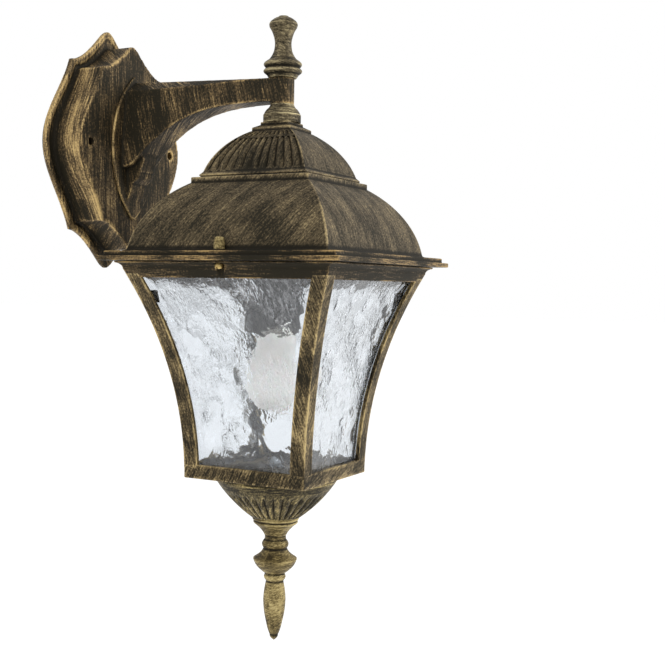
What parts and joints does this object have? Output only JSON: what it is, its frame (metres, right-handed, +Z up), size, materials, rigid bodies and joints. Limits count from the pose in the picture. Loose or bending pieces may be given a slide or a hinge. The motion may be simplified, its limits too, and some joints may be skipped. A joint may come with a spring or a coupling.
{
  "type": "outdoor wall lantern",
  "caption": "Downward wall lantern: square flared cage of rippled glass under an ogee roof with fluted dome, hung from a cast arm on a cartouche wall plate.",
  "frame": {"origin": "on the wall plane, midway between the two wall screw holes", "axes": "+Z up, -Y out from the wall towards the lantern, +X to the right when facing the wall"},
  "size_m": [0.175, 0.2395, 0.4263],
  "materials": {
    "cast_bronze": "cast aluminium, near-black bronze paint dry-brushed with antique gold",
    "cast_gold": "cast aluminium, bronze paint more heavily brushed with antique gold",
    "zinc_steel": "bright zinc plate",
    "brass": "plain brass",
    "nickel_cap": "nickel plate, rolled thread",
    "black_rubber": "matt moulded rubber",
    "black_phenolic": "moulded thermoset plastic",
    "spring_clip_steel": "blackened spring steel",
    "white_plastic": "moulded nylon",
    "porcelain": "glazed porcelain",
    "brown_insulation": "silicone insulation",
    "blue_insulation": "silicone insulation",
    "green_yellow_insulation": "silicone insulation",
    "water_glass": "clear rolled glass with rippled lumps",
    "opal_glass": "opal white glass"
  },
  "bodies": {
    "fixture": {"wall_plate": "cast_bronze", "arm_bracket": "cast_bronze", "lower_collar": "cast_bronze", "top_finial": "cast_bronze", "fluted_dome": "cast_bronze", "roof": "cast_bronze", "arm_bolts": "zinc_steel", "arm_bolt_washers": "zinc_steel", "terminal_screws": "zinc_steel", "terminal_fixing_screw": "zinc_steel", "threaded_tube": "zinc_steel", "tube_washer": "zinc_steel", "tube_nut": "zinc_steel", "terminal_tubes": "brass", "earth_screw": "brass", "earth_ring": "brass", "holder_shell": "brass", "holder_contact": "brass", "holder_screws": "brass", "wall_seal": "black_rubber", "arm_grommet": "black_rubber", "dome_seal": "black_rubber", "holder_cap": "black_phenolic", "holder_body": "black_phenolic", "holder_ring": "black_phenolic", "terminal_block": "white_plastic", "holder_insert": "porcelain", "live_wire": "brown_insulation", "neutral_wire": "blue_insulation", "earth_wire": "green_yellow_insulation"},
    "cage": {"rim_seal": "black_rubber", "cage_frame": "cast_bronze", "glass_front": "water_glass", "glass_back": "water_glass", "glass_left": "water_glass", "glass_right": "water_glass", "glass_clips": "spring_clip_steel", "bowl": "cast_bronze", "bowl_seal": "black_rubber", "drop_finial": "cast_gold", "finial_stud": "zinc_steel", "stud_nut": "zinc_steel", "stud_washer": "zinc_steel"},
    "cage_screw_left": {"cage_screw_left": "brass"},
    "cage_screw_right": {"cage_screw_right": "brass"},
    "lamp": {"lamp_globe": "opal_glass", "lamp_cap": "nickel_cap", "lamp_contact": "brass"}
  },
  "joints": [
    {"name": "cage_drop", "type": "slide", "parent": "fixture", "child": "cage", "axis": [0, 0, -1], "range_m": [0, 0.12]},
    {"name": "cage_screw_left_turn", "type": "hinge", "parent": "cage", "child": "cage_screw_left", "pos_m": [-0.0766, -0.152, -0.0863], "axis": [0, 0, 1], "continuous": true},
    {"name": "cage_screw_right_turn", "type": "hinge", "parent": "cage", "child": "cage_screw_right", "pos_m": [0.0766, -0.152, -0.0863], "axis": [0, 0, 1], "continuous": true},
    {"name": "lamp_out", "type": "slide", "parent": "fixture", "child": "lamp", "axis": [0, 0, -1], "range_m": [0, 0.03]}
  ]
}
